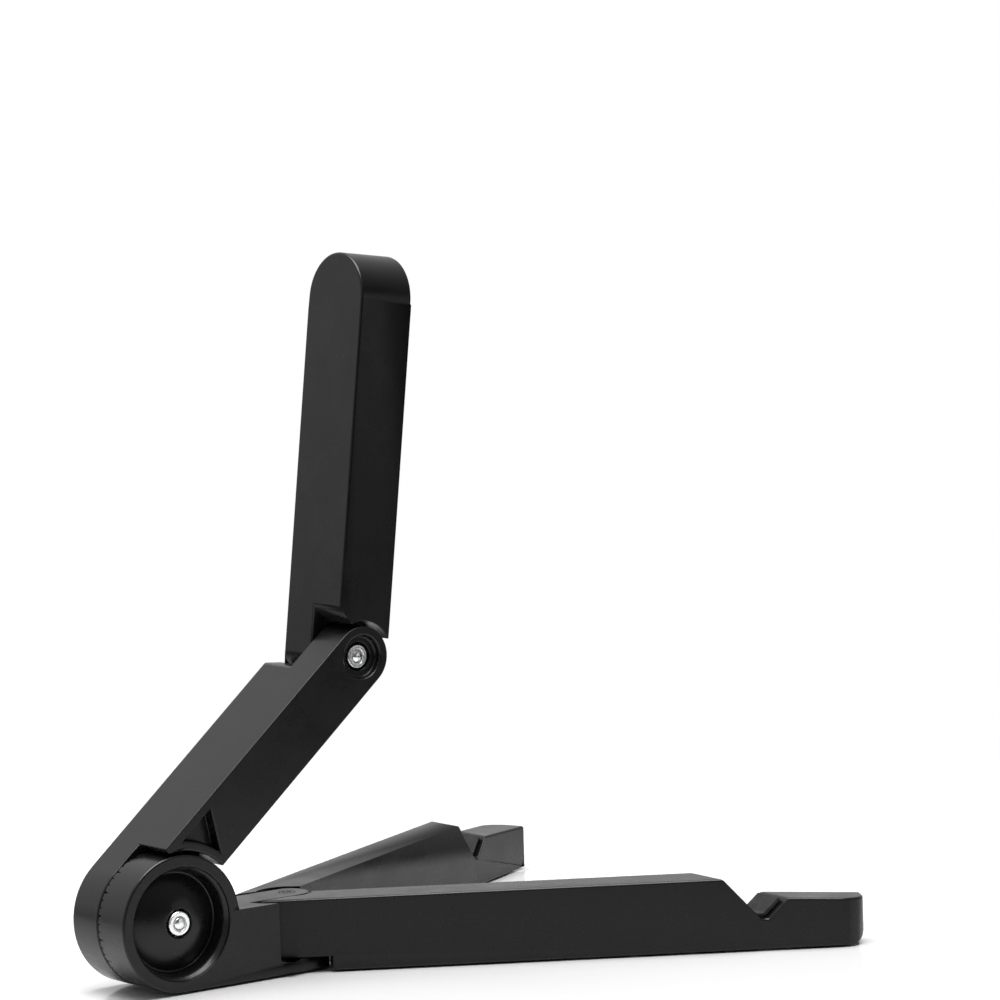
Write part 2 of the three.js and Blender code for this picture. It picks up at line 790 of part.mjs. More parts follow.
// The bolt, nut and flat washers of one hinge. The head's washer turns with the piece at +X.
function hinge(name, nutGroup, headGroup, faceDepth) {
  const nutWasherX = faceX(-1)(faceDepth) + nutHeight + seat;
  const headWasherX = faceX(1)(faceDepth) - boltHeadHeight - seat - washerThickness;
  piece(nutGroup, `${name}_bolt`, bolt(faceDepth, faceDepth), zinc);
  piece(nutGroup, `${name}_nut`, lockNut(faceDepth), zinc);
  piece(nutGroup, `${name}_nut_washer`, washer(nutWasherX, nutAcrossFlats / 2), zinc);
  piece(headGroup, `${name}_head_washer`, washer(headWasherX), zinc);
  piece(headGroup, `${name}_spring_washer`, springWasher(), springSteel);
}

const stand = new THREE.Group();

const base = subgroup(stand, [0, -pivotToFoot, 0], [0, 0, 0]);
piece(base, "base_hub", baseHub(), blackPlastic);
piece(base, "base_foot", baseFoot(), rubber);
piece(base, "leg_pivot_pin", pivotPin(), springSteel);
piece(base, "leg_pivot_washer", pivotWasher(), nylon);

for (const [name, side, layer, angle] of [
  ["left_leg", -1, "upper", leftLegAngle],
  ["right_leg", 1, "lower", rightLegAngle],
]) {
  const group = subgroup(base, [0, 0, 0], [0, 0, side * radians(angle)]);
  piece(group, name, leg(side, layer), blackPlastic);
  piece(group, `${name}_foot`, legFoot(side), rubber);
  piece(group, `${name}_notch_pad`, notchPad(side), rubber);
}

const hingeGroup = subgroup(base, [0, pivotToBaseHinge, hingeHeight], [0, 0, 0]);
const lowerGroup = subgroup(hingeGroup, [0, 0, 0], [radians(lowerArmLean), 0, 0]);
piece(lowerGroup, "lower_arm", lowerArm(), blackPlastic);
hinge("base_hinge", hingeGroup, lowerGroup, baseNutDepth);

const elbowGroup = subgroup(lowerGroup, [0, elbowOffset, lowerArmLength], [0, 0, 0]);
const upperGroup = subgroup(elbowGroup, [0, 0, 0], [radians(upperArmLean - lowerArmLean), 0, 0]);
piece(upperGroup, "upper_arm", upperArm(), blackPlastic);
piece(upperGroup, "upper_arm_pad", armPad(), rubber);
hinge("elbow", elbowGroup, upperGroup, elbowNutDepth);

export default stand;
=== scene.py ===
"""Looks of a folding tablet stand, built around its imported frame.

Sizes are in metres, +Z is up, and the legs point to -Y.
"""

import json
import math

import bmesh
import bpy
import numpy as np
from bpy.props import FloatProperty, FloatVectorProperty, PointerProperty
from bpy.types import Operator, Panel, PropertyGroup
from mathutils import Matrix, Vector


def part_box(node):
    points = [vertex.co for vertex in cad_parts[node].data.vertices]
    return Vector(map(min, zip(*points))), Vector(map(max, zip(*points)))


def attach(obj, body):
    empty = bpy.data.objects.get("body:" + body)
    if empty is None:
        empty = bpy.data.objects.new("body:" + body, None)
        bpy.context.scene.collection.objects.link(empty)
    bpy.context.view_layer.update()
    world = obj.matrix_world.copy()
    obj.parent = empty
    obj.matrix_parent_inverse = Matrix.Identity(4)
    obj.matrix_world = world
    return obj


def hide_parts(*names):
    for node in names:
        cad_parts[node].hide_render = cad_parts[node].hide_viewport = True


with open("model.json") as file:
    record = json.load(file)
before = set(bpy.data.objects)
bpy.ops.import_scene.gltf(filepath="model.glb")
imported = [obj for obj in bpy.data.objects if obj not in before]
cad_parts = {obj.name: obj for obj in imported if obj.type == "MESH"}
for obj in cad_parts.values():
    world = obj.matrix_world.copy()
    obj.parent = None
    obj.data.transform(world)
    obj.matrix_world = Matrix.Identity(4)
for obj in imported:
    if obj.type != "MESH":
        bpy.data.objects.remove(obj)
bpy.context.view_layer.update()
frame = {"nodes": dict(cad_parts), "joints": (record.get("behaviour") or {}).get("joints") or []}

bl_info = {
    "name": "Folding Tablet Stand",
    "version": (1, 0, 0),
    "blender": (4, 5, 0),
    "location": "View3D > Sidebar > Stand",
    "description": "Builds the looks of a folding tablet stand around its packed frame",
    "category": "Object",
}

MM = 0.001
TURN = 2 * math.pi
JOINTS = {joint["name"]: joint for joint in frame["joints"]}
LEGS = ("left_leg", "right_leg")

# Each tilt hinge has its joint, the body with its nut and the body with its bolt's head.
# The last value is 1 where the nut and bolt are turned with the leaning lower arm.
HINGES = {
    "base_hinge": ("base_tilt", "base", "lower_arm", 0.0),
    "elbow": ("elbow_tilt", "lower_arm", "upper_arm", 1.0),
}

# Merging and rounding of the mouldings. A crease's room is how far it may be cut back,
# counted in edge radii. Over FULL_ROOM it is rounded fully, over SMALL_ROOM by SMALL_WEIGHT.
SAME_POINT = 0.1e-6
SAME_CAD_POINT = 4e-6
FLAT_ANGLE = math.radians(0.6)
CREASE_ANGLE = math.radians(30)
FULL_ROOM = 1.6
SMALL_ROOM = 0.7
SMALL_WEIGHT = 0.4
ROOM_PER_LENGTH = 1.2
SQUARE_SHARE = 0.3
EDGE_SEGMENTS = 3
FLAT_FACE_WEIGHT = 60
LINING_EDGE = 0.25 * MM

# Columns of the nuts and bolts, a multiple of six
HARDWARE_COLUMNS = 96

# Lock nuts
NUT_THREAD_GAP = 0.06 * MM
NUT_COLLAR_LENGTH = 1.35 * MM
NUT_COLLAR_ROLL = (0.22 * MM, 0.25 * MM)
NUT_RIM = 0.1 * MM
NUT_STEP = 0.02 * MM
NUT_CHAMFER = 0.35 * MM
NUT_FRONT_CHAMFER_DEPTH = 0.55 * MM
NUT_BACK_CHAMFER_DEPTH = 0.5 * MM
NUT_BORE_CHAMFER = 0.15 * MM
NUT_ROUNDING = 0.09 * MM
INSERT_SEAT = 1.3 * MM
INSERT_END = 1.2 * MM
INSERT_FACE = 0.12 * MM
INSERT_LIP = 0.2 * MM
INSERT_INSIDE_BORE = 0.05 * MM
INSERT_LIP_WIDTH = 0.04 * MM
INSERT_GAP = 0.02 * MM
INSERT_ROUNDING = 0.05 * MM

# Button bolts
BUTTON_HEIGHT = 2.2 * MM
BUTTON_RADIUS = 2.75 * MM
BUTTON_TOP_RADIUS = 1.6 * MM
BUTTON_DOME_HEIGHT = 1.75 * MM
BUTTON_UNDERCUT = (0.05 * MM, 0.06 * MM)
SOCKET_DEPTH = 1.3 * MM
SOCKET_FLOOR_RISE = 0.05 * MM
SOCKET_FLOOR_SHARE = 0.6
SOCKET_MOUTH = 0.2 * MM
SOCKET_MOUTH_WIDTH = 0.25 * MM
SOCKET_MOUTH_SINK = 0.02 * MM
SHAFT_FILLET = 0.1 * MM
THREAD_LENGTH = 5 * MM
THREAD_DEPTH = 0.13 * MM
THREAD_RUNOUT = 0.5 * MM
THREAD_LEAST_RADIUS = 1.3 * MM
THREAD_ROWS_PER_PITCH = 8
THREAD_STOP = 0.35 * MM
BOLT_END = ((0, 0.3 * MM), (0.16 * MM, 0.08 * MM), (0.3 * MM, 0))
NO_RADIUS = 1e-9

# Washers
WASHER_BOLT_GAP = 0.15 * MM
WASHER_EDGE = 0.12 * MM
NUT_WASHER_RADIUS = 2.75 * MM
HEAD_WASHER_RADIUS = 3 * MM
SPRING_WASHER_RADIUS = 3.9 * MM
SPRING_WASHER_THICKNESS = 0.4 * MM

# Leg pivot
PIN_RADIUS = 1.7 * MM
PIN_HEAD_HEIGHT = 1 * MM
PIN_HEAD_CHAMFER = (0.2 * MM, 0.3 * MM)
PIN_END_CHAMFER = 0.12 * MM
PIN_DIMPLE = ((0.4 * MM, 0), (0.6 * MM, 0.25 * MM))
PIN_DIMPLE_DEPTH = 0.3 * MM
PIN_ROUNDING = 0.08 * MM
LEG_WASHER_BORE = 1.85 * MM

# Rubber pads, as length and width
BASE_FOOT = (15 * MM, 9 * MM)
LEG_FOOT = (13 * MM, 5.5 * MM)
ARM_PAD = (11 * MM, 9 * MM)
ARM_PAD_THICKNESS = 1.2 * MM

# Camera and lights
CAMERA_PLACE = Vector((-0.8633, 0.5717, 0.2019))
CAMERA_AHEAD = Vector((0.7927, -0.6025, -0.0927)).normalized()
CAMERA_ROLL = math.radians(-1.883)
SENSOR_WIDTH = 36
CLIP_RANGE = (0.01, 40)
SOFTBOX_SIZE = 1.2
SOFTBOX_PLACE = (-0.1, 0.1, 1.5)
SOFTBOX_TARGET = (0, -0.03, 0)
CARD_SIZE = 0.5
CARD_PLACE = (-0.8, -0.62, 0.06)
CARD_TARGET = (0, -0.03, 0.04)
LEAST_SURROUND = 0.05
WHITE = (1, 1, 1, 1)


# Surfaces


def mesh_of(name, points, faces, smooth=True):
    """A mesh object from an array of points and a list or array of faces, at the origin."""
    mesh = bpy.data.meshes.new(name)
    mesh.from_pydata(np.asarray(points).tolist(), [], [list(map(int, f)) for f in faces])
    mesh.update()
    if smooth:
        mesh.shade_smooth()
    else:
        mesh.shade_flat()
    piece = bpy.data.objects.new(name, mesh)
    bpy.context.scene.collection.objects.link(piece)
    return piece


def grid_faces(rows, columns, rows_close=False):
    """Quads of a grid whose columns run round, and whose rows do too where they close.

    The corners are (i, j), (i + 1, j), (i + 1, j + 1) and (i, j + 1).
    """
    i = np.arange(rows if rows_close else rows - 1)[:, None]
    j = np.arange(columns)[None, :]
    below = (i + 1) % rows
    after = (j + 1) % columns
    corners = [i * columns + j, below * columns + j, below * columns + after, i * columns + after]
    return np.stack([c + np.zeros_like(i + j) for c in corners], -1).reshape(-1, 4)


def tidy_mesh(piece):
    """Merges doubles, drops faces without area and turns all faces outwards."""
    bm = bmesh.new()
    bm.from_mesh(piece.data)
    bmesh.ops.remove_doubles(bm, verts=bm.verts, dist=SAME_POINT)
    bmesh.ops.dissolve_degenerate(bm, edges=bm.edges, dist=SAME_POINT)
    bmesh.ops.recalc_face_normals(bm, faces=bm.faces)
    bm.to_mesh(piece.data)
    bm.free()
    return piece


def about_x(radius, x, centre, turn):
    """Points of a surface about a line along X.

    At row s and angle a the point is x(s) along the line and radius(s, a) from it. The angle
    counts from +Y towards +Z and is advanced by the turn.
    """
    angle = np.linspace(0, TURN, radius.shape[1], endpoint=False) + turn
    along = np.broadcast_to(x[:, None], radius.shape)
    return np.stack([along, centre[1] + radius * np.cos(angle), centre[2] + radius * np.sin(angle)], -1)


def hexagon_radius(across_flats, count):
    """Radius of a hexagon by angle.

    It is half the width across flats over the cosine of the angle from the nearest flat's middle.
    """
    angle = np.linspace(0, TURN, count, endpoint=False)
    return across_flats / 2 / np.cos((angle % (TURN / 6)) - TURN / 12)


def rounded(profile, radius, steps=4):
    """A line of (a, b) points with every inner corner replaced by a quadratic curve.

    The curve starts and ends the given distance from the corner, or nearly half an edge from it
    where the edge is shorter.
    """
    points = np.asarray(profile, float)
    most = 0.45
    out = [points[:1]]
    t = np.linspace(0, 1, steps + 1)[:, None]
    for before, corner, after in zip(points[:-2], points[1:-1], points[2:], strict=True):
        back = before - corner
        ahead = after - corner
        near = min(radius, most * np.linalg.norm(back), most * np.linalg.norm(ahead))
        start = corner + back / np.linalg.norm(back) * near
        end = corner + ahead / np.linalg.norm(ahead) * near
        out.append((1 - t) ** 2 * start + 2 * t * (1 - t) * corner + t**2 * end)
    out.append(points[-1:])
    return np.concatenate(out)


def turned_piece(name, profile, centre, turn=0.0, columns=64, close=False, shape=None):
    """A profile of (radius, x) rows turned about a line along X.

    Rows of radius 0 become poles. Where a shape is given, it maps the profile to an array of
    radii by row and angle, such as a hexagon cut off by the profile.
    """
    profile = np.asarray(profile, float)
    radius = np.repeat(profile[:, :1], columns, 1) if shape is None else shape(profile, columns)
    points = about_x(radius, profile[:, 1], centre, turn)
    faces = grid_faces(len(profile), columns, rows_close=close)
    return tidy_mesh(mesh_of(name, points.reshape(-1, 3), faces))


def obround_pad(name, centre, along, across, out, plan, thickness, sizes):
    """A rubber pad with round ends, with its back's middle at the centre.

    Its rings are the outline pulled in by an inset. The height is a quarter-round edge and then
    a slight crown, which grows with the square of the way in.
    """
    columns = 48
    steps = 6
    long, wide = plan
    edge = sizes.pad_edge
    crown = sizes.pad_crown
    angle = np.linspace(0, TURN, columns, endpoint=False)
    half = wide / 2
    reach = (long - wide) / 2
    bend = np.linspace(0, math.pi / 2, steps)
    way = np.linspace(0, 1, steps)[1:]
    inset = np.concatenate([[half, 0], edge * (1 - np.cos(bend)), edge + (half - edge) * way])
    round_edge = thickness - crown - edge + edge * np.sin(bend)
    rise = np.concatenate([[0, 0], round_edge, thickness - crown * (1 - way) ** 2])
    radius = half - inset[:, None]
    u = np.sign(np.cos(angle)) * reach + radius * np.cos(angle)
    v = radius * np.sin(angle)
    axes = np.array([along, across, out], float)
    local = np.stack([u, v, np.repeat(rise[:, None], columns, 1)], -1)
    points = np.asarray(centre, float) + local @ axes
    return tidy_mesh(mesh_of(name, points.reshape(-1, 3), grid_faces(len(inset), columns)))


def crease_room(crease, creases):
    """How far a crease may be cut back.

    That is the least reach of its neighbouring edges square to it, half of it where the
    neighbour is a crease too, and no more than the mean width of its two faces.
    """
    room = min(f.calc_area() / max(e.calc_length() for e in f.edges) for f in crease.link_faces)
    for vertex in crease.verts:
        along = (crease.other_vert(vertex).co - vertex.co).normalized()
        for edge in vertex.link_edges:
            if edge is crease or not set(edge.link_faces) & set(crease.link_faces):
                continue
            reach = edge.other_vert(vertex).co - vertex.co
            square = (reach - along * reach.dot(along)).length
            if square > SQUARE_SHARE * reach.length:
                room = min(room, square / 2 if edge in creases else square)
    return room


def crease_weight(room):
    """The bevel weight of a crease by its room in edge radii."""
    if room > FULL_ROOM:
        return 1.0
    return SMALL_WEIGHT if room > SMALL_ROOM else 0.0


def moulding(name, node, edge):
    """A copy of a CAD node as one smooth moulding.

    Its doubles are merged and flat areas joined. Each crease is then rounded by the edge radius,
    or by less or nothing where its neighbours leave little room.
    """
    piece = bpy.data.objects.new(name, frame["nodes"][node].data.copy())
    piece.data.name = name
    piece.data.materials.clear()
    bpy.context.scene.collection.objects.link(piece)
    bm = bmesh.new()
    bm.from_mesh(piece.data)
    bmesh.ops.remove_doubles(bm, verts=bm.verts, dist=SAME_CAD_POINT)
    bmesh.ops.dissolve_degenerate(bm, edges=bm.edges, dist=SAME_CAD_POINT)
    bmesh.ops.dissolve_limit(
        bm, angle_limit=FLAT_ANGLE, use_dissolve_boundaries=False, verts=bm.verts, edges=bm.edges
    )
    weight = bm.edges.layers.float.new("bevel_weight_edge")
    creases = {e for e in bm.edges if len(e.link_faces) == 2 and e.calc_face_angle(0) > CREASE_ANGLE}
    for e in creases:
        room = min(crease_room(e, creases), ROOM_PER_LENGTH * e.calc_length()) / edge
        e[weight] = crease_weight(room)
        e.smooth = room > SMALL_ROOM
    for f in bm.faces:
        f.smooth = True
    bm.to_mesh(piece.data)
    bm.free()
    bevel = piece.modifiers.new("Round edges", "BEVEL")
    bevel.width = edge
    bevel.segments = EDGE_SEGMENTS
    bevel.limit_method = "WEIGHT"
    bevel.use_clamp_overlap = False
    normals = piece.modifiers.new("Flat faces", "WEIGHTED_NORMAL")
    normals.mode = "FACE_AREA"
    normals.keep_sharp = True
    normals.weight = FLAT_FACE_WEIGHT
    return piece


# Finishes


class Nodes:
    """Short calls for a material's node tree around one Principled shader."""

    def __init__(self, name):
        self.material = bpy.data.materials.new(name)
        self.material.use_nodes = True
        self.tree = self.material.node_tree
        self.shader = self.tree.nodes["Principled BSDF"]
        self.coordinates = self.tree.nodes.new("ShaderNodeTexCoord").outputs["Object"]

    def link(self, source, target):
        self.tree.links.new(source, target)

    def noise(self, scale, detail=2.0, roughness=0.5, stretch=None):
        noise = self.tree.nodes.new("ShaderNodeTexNoise")
        noise.inputs["Scale"].default_value = scale
        noise.inputs["Detail"].default_value = detail
        noise.inputs["Roughness"].default_value = roughness
        source = self.coordinates
        if stretch:
            mapping = self.tree.nodes.new("ShaderNodeMapping")
            mapping.inputs["Scale"].default_value = stretch
            self.link(source, mapping.inputs["Vector"])
            source = mapping.outputs["Vector"]
        self.link(source, noise.inputs["Vector"])
        return noise.outputs["Fac"]

    def spread(self, source, low, high, start=0.3, end=0.7):
        """A noise value from start to end, as a value from low to high."""
        spread = self.tree.nodes.new("ShaderNodeMapRange")
        spread.inputs["From Min"].default_value = start
        spread.inputs["From Max"].default_value = end
        spread.inputs["To Min"].default_value = low
        spread.inputs["To Max"].default_value = high
        self.link(source, spread.inputs["Value"])
        return spread.outputs["Result"]

    def tint(self, source, dark, light):
        ramp = self.tree.nodes.new("ShaderNodeValToRGB")
        ramp.color_ramp.elements[0].color = (*dark, 1)
        ramp.color_ramp.elements[1].color = (*light, 1)
        self.link(source, ramp.inputs["Fac"])
        self.link(ramp.outputs["Color"], self.shader.inputs["Base Color"])

    def total(self, a, b, share):
        """a plus a share of b."""
        add = self.tree.nodes.new("ShaderNodeMath")
        add.operation = "MULTIPLY_ADD"
        self.link(b, add.inputs[0])
        add.inputs[1].default_value = share
        self.link(a, add.inputs[2])
        return add.outputs["Value"]

    def bump(self, height, strength, distance):
        bump = self.tree.nodes.new("ShaderNodeBump")
        bump.inputs["Strength"].default_value = strength
        bump.inputs["Distance"].default_value = distance
        self.link(height, bump.inputs["Height"])
        self.link(bump.outputs["Normal"], self.shader.inputs["Normal"])

    def fade_to_white(self, near, far):
        """Lets the surface go over to plain white by the distance from the origin.

        The white lights nothing, so the room stays dark there.
        """
        distance = self.tree.nodes.new("ShaderNodeVectorMath")
        distance.operation = "LENGTH"
        self.link(self.coordinates, distance.inputs[0])
        white = self.tree.nodes.new("ShaderNodeEmission")
        path = self.tree.nodes.new("ShaderNodeLightPath")
        self.link(path.outputs["Is Camera Ray"], white.inputs["Strength"])
        mix = self.tree.nodes.new("ShaderNodeMixShader")
        self.link(self.spread(distance.outputs["Value"], 0, 1, near, far), mix.inputs["Fac"])
        self.link(self.shader.outputs["BSDF"], mix.inputs[1])
        self.link(white.outputs["Emission"], mix.inputs[2])
        self.link(mix.outputs["Shader"], self.tree.nodes["Material Output"].inputs["Surface"])

    def rough(self, source):
        self.link(source, self.shader.inputs["Roughness"])

    def set(self, **values):
        for name, value in values.items():
            self.shader.inputs[name.replace("_", " ")].default_value = value


def scaled(colour, factor):
    return tuple(min(1.0, c * factor) for c in colour)


def spark_eroded_plastic(name, looks):
    """Black moulded plastic: a fine grain from the eroded mould, cloudy gloss where handled."""
    n = Nodes(name)
    cloud = n.noise(scale=60, detail=3, roughness=0.6)
    grain = n.noise(scale=5200, detail=3, roughness=0.65)
    tone = n.spread(n.total(cloud, grain, share=0.35), 0, 1, start=0.45, end=0.9)
    n.tint(tone, scaled(looks.plastic, 0.8), scaled(looks.plastic, 1.25))
    handled = n.noise(scale=110, detail=4, roughness=0.6)
    n.rough(n.spread(handled, looks.plastic_roughness - 0.05, looks.plastic_roughness + 0.06))
    relief = n.total(grain, n.noise(scale=1900, detail=2, roughness=0.5), share=0.8)
    n.bump(relief, looks.plastic_grain, distance=0.02 * MM)
    n.set(Specular_IOR_Level=0.3)
    return n.material


def matt_rubber(name, looks):
    """Matt rubber: dark, dusty on a small scale, with a soft leathery bump."""
    n = Nodes(name)
    dust = n.noise(scale=900, detail=4, roughness=0.7)
    tone = n.spread(dust, 0, 1, start=0.35, end=0.75)
    n.tint(tone, scaled(looks.rubber, 0.8), scaled(looks.rubber, 1.8))
    n.rough(n.spread(n.noise(scale=240, detail=3), 0.72, 0.88))
    n.bump(n.total(dust, n.noise(scale=3200), share=0.5), strength=0.35, distance=0.03 * MM)
    n.set(Specular_IOR_Level=0.35)
    return n.material


def bright_plating(name, looks):
    """Bright zinc plate: nearly white metal with faint turning marks and small cloudy spots."""
    n = Nodes(name)
    spots = n.noise(scale=1400, detail=3, roughness=0.6)
    n.tint(n.spread(spots, 0, 1, start=0.3, end=0.8), scaled(looks.zinc, 0.9), looks.zinc)
    n.rough(n.spread(n.noise(scale=2600), 0.16, 0.3))
    n.bump(n.noise(scale=700, stretch=(18, 1, 1)), strength=0.04, distance=0.005 * MM)
    n.set(Metallic=1.0)
    return n.material


def blued_spring_steel(name, looks):
    """Spring steel: dark grey metal with a satin, slightly blotchy temper colour."""
    n = Nodes(name)
    blotch = n.noise(scale=700, detail=4, roughness=0.6)
    n.tint(n.spread(blotch, 0, 1), scaled(looks.spring_steel, 0.7), looks.spring_steel)
    n.rough(n.spread(n.noise(scale=1900), 0.3, 0.45))
    n.bump(n.noise(scale=2400), strength=0.1, distance=0.01 * MM)
    n.set(Metallic=1.0)
    return n.material


def milky_nylon(name, looks):
    """Natural nylon: milky, with a soft gloss."""
    n = Nodes(name)
    n.tint(n.spread(n.noise(scale=500, detail=3), 0, 1), scaled(looks.nylon, 0.9), looks.nylon)
    n.rough(n.spread(n.noise(scale=1200), 0.35, 0.5))
    n.bump(n.noise(scale=2200), strength=0.15, distance=0.01 * MM)
    return n.material


# The frame brings plain materials named like the slots, so the finishes have names of their own.
FINISHES = {
    "black_plastic": spark_eroded_plastic,
    "black_rubber": matt_rubber,
    "bright_zinc": bright_plating,
    "spring_steel": blued_spring_steel,
    "white_nylon": milky_nylon,
}


def finish(slot):
    """The finish of a slot, made at its first use."""
    make = FINISHES[slot]
    name = make.__name__
    return bpy.data.materials.get(name) or make(name, bpy.context.scene.stand_finishes)


def put(piece, body, slot, *nodes):
    """Gives a piece its body and the finish of its slot, and hides the CAD nodes it stands for."""
    piece.data.materials.append(finish(slot))
    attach(piece, body)
    if nodes:
        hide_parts(*nodes)
    return piece


# Properties


def length(name, description, default, top=0.1):
    return FloatProperty(
        name=name, description=description, default=default, min=0, max=top, unit="LENGTH"
    )


def colour(name, description, default):
    return FloatVectorProperty(
        name=name, description=description, default=default, size=3, min=0, max=1, subtype="COLOR"
    )


def fraction(name, description, default):
    return FloatProperty(name=name, description=description, default=default, min=0, max=1)


def lean(name, degrees):
    return FloatProperty(
        name=name,
        description="From upright, towards the legs",
        default=math.radians(degrees),
        subtype="ANGLE",
    )


def power(name, description, default):
    return FloatProperty(
        name=name, description=description, default=default, min=0, unit="POWER"
    )


class StandSizes(PropertyGroup):
    edge: length("Edge radius", "Round edges of the big mouldings", 0.55 * MM, 0.002)
    pad_edge: length("Pad edge", "Round edges of the rubber feet and the arm's pad", 0.35 * MM, 0.002)
    pad_crown: length("Pad crown", "How far a pad's middle stands above its edge", 0.12 * MM, 0.002)
    across_flats: length("Across flats", "Width of the lock nuts", 5.5 * MM)
    collar_radius: length("Collar radius", "Round collar of a lock nut", 2.75 * MM)
    insert_radius: length("Insert radius", "Nylon ring in a lock nut", 1.72 * MM)
    bolt_radius: length("Bolt radius", "Shaft of both bolts", 1.5 * MM)
    thread_pitch: length("Thread pitch", "From one thread to the next", 0.5 * MM)
    socket_across_flats: length("Socket width", "Hexagon socket of the bolts' heads", 2 * MM)
    lower_arm_lean: lean("Lower arm lean", 50)
    upper_arm_lean: lean("Upper arm lean", 7.3)


class StandFinishes(PropertyGroup):
    plastic: colour("Plastic", "Black moulded plastic", (0.0028, 0.0028, 0.003))
    plastic_roughness: fraction("Plastic roughness", "Middle of the plastic's roughness", 0.28)
    plastic_grain: fraction("Plastic grain", "Strength of the eroded grain", 0.1)
    rubber: colour("Rubber", "Feet, linings and pad", (0.011, 0.011, 0.0115))
    zinc: colour("Zinc", "Nuts, bolts and flat washers", (0.86, 0.87, 0.88))
    spring_steel: colour("Spring steel", "Spring washers and the leg pin", (0.15, 0.152, 0.16))
    nylon: colour("Nylon", "Nut inserts and the leg washer", (0.62, 0.61, 0.58))


class StandStage(PropertyGroup):
    floor: colour("Floor", "Pale floor", (0.6, 0.6, 0.6))
    floor_size: length("Floor size", "Side of the floor", 12.0, 100.0)
    floor_near: length("Floor fades from", "Distance where it starts to turn white", 0.16, 10.0)
    floor_far: length("Floor fades to", "Distance where it is all white", 0.4, 10.0)
    surround: FloatProperty(
        name="Surround", description="Brightness of the walls, halfway round", default=0.4, min=0
    )
    surround_turn: FloatVectorProperty(
        name="Bright side",
        description="Way to the brightest wall, as long as the change is large",
        default=(0.45, 0.15, 0.5),
    )
    top_light: power("Top light", "Power of the softbox above", 50)
    card_light: power("Card light", "Power of the card that shows in the nuts", 0.6)
    lens: FloatProperty(name="Lens", description="Focal length in millimetres", default=168.06, min=1)


# Pieces


def add_moulding(context, name, node, body):
    """Adds a black moulding that stands for a CAD node."""
    put(moulding(name, node, context.scene.stand_sizes.edge), body, "black_plastic", node)


class STAND_OT_base(Operator):
    """Adds the base block: hinge cheek with its cup and teeth, plate and tongue"""

    bl_idname = "stand.base"
    bl_label = "Base"

    def execute(self, context):
        add_moulding(context, "base_block", "base_hub", "base")
        return {"FINISHED"}


class STAND_OT_legs(Operator):
    """Adds both legs with their notches and low hooks"""

    bl_idname = "stand.legs"
    bl_label = "Legs"

    def execute(self, context):
        for node in LEGS:
            add_moulding(context, f"{node}_moulding", node, node)
        return {"FINISHED"}


class STAND_OT_arms(Operator):
    """Adds the lower and the upper arm"""

    bl_idname = "stand.arms"
    bl_label = "Arms"

    def execute(self, context):
        for node in ("lower_arm", "upper_arm"):
            add_moulding(context, f"{node}_moulding", node, node)
        return {"FINISHED"}


def nut_shape(across_flats, collar_end):
    """Radius by row and angle of a nut.

    Beyond the collar it is the smaller of the profile's and the hexagon's, which leaves the
    usual curved chamfers. Before the collar's end it is the profile's alone.
    """

    def shape(profile, columns):
        hexagon = hexagon_radius(across_flats, columns)
        beyond = (profile[:, 1] > collar_end)[:, None]
        return np.where(beyond, np.minimum(profile[:, :1], hexagon), profile[:, :1])

    return shape


def nut_outline(sizes, face, back):
    """The closed section of a lock nut, from the seat of its insert round to the bore."""
    bore = sizes.bolt_radius + NUT_THREAD_GAP
    corner = sizes.across_flats / math.sqrt(3)
    collar = sizes.collar_radius
    collar_end = face + NUT_COLLAR_LENGTH
    roll_width, roll_length = NUT_COLLAR_ROLL
    return [
        (bore, face + INSERT_SEAT),
        (sizes.insert_radius, face + INSERT_SEAT),
        (sizes.insert_radius, face + NUT_RIM),
        (sizes.insert_radius + NUT_RIM, face),
        (collar - roll_width, face),
        (collar, face + roll_length),
        (collar, collar_end),
        (corner - NUT_FRONT_CHAMFER_DEPTH, collar_end + NUT_STEP),
        (corner, collar_end + NUT_CHAMFER),
        (corner, back - NUT_CHAMFER),
        (corner - NUT_BACK_CHAMFER_DEPTH, back),
        (bore + NUT_BORE_CHAMFER, back),
        (bore, back - NUT_BORE_CHAMFER),
        (bore, collar_end),
    ]


def insert_outline(sizes, face):
    """The closed section of a lock nut's nylon ring, which stands a little inside the bore."""
    bore = sizes.bolt_radius + NUT_THREAD_GAP
    inside = bore - INSERT_INSIDE_BORE
    outside = sizes.insert_radius - INSERT_GAP
    return [
        (inside, face + INSERT_END),
        (inside, face + INSERT_LIP),
        (bore + INSERT_LIP_WIDTH, face + INSERT_FACE),
        (outside, face + INSERT_FACE),
        (outside, face + INSERT_END),
        (inside, face + INSERT_END),
    ]


class STAND_OT_lock_nuts(Operator):
    """Adds the lock nut of each tilt hinge, with a rolled collar and a nylon insert"""

    bl_idname = "stand.lock_nuts"
    bl_label = "Lock nuts"

    def execute(self, context):
        sizes = context.scene.stand_sizes
        for name, (joint, nut_body, _, turned) in HINGES.items():
            low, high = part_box(f"{name}_nut")
            face = low.x
            centre = JOINTS[joint]["pos_m"]
            nut = turned_piece(
                f"{name}_lock_nut",
                rounded(nut_outline(sizes, face, high.x), NUT_ROUNDING),
                centre,
                turn=turned * sizes.lower_arm_lean,
                columns=HARDWARE_COLUMNS,
                close=True,
                shape=nut_shape(sizes.across_flats, face + NUT_COLLAR_LENGTH + NUT_STEP / 2),
            )
            put(nut, nut_body, "bright_zinc", f"{name}_nut")
            section = rounded(insert_outline(sizes, face), INSERT_ROUNDING)
            insert = turned_piece(f"{name}_nut_insert", section, centre, close=True)
            put(insert, nut_body, "white_nylon")
        return {"FINISHED"}


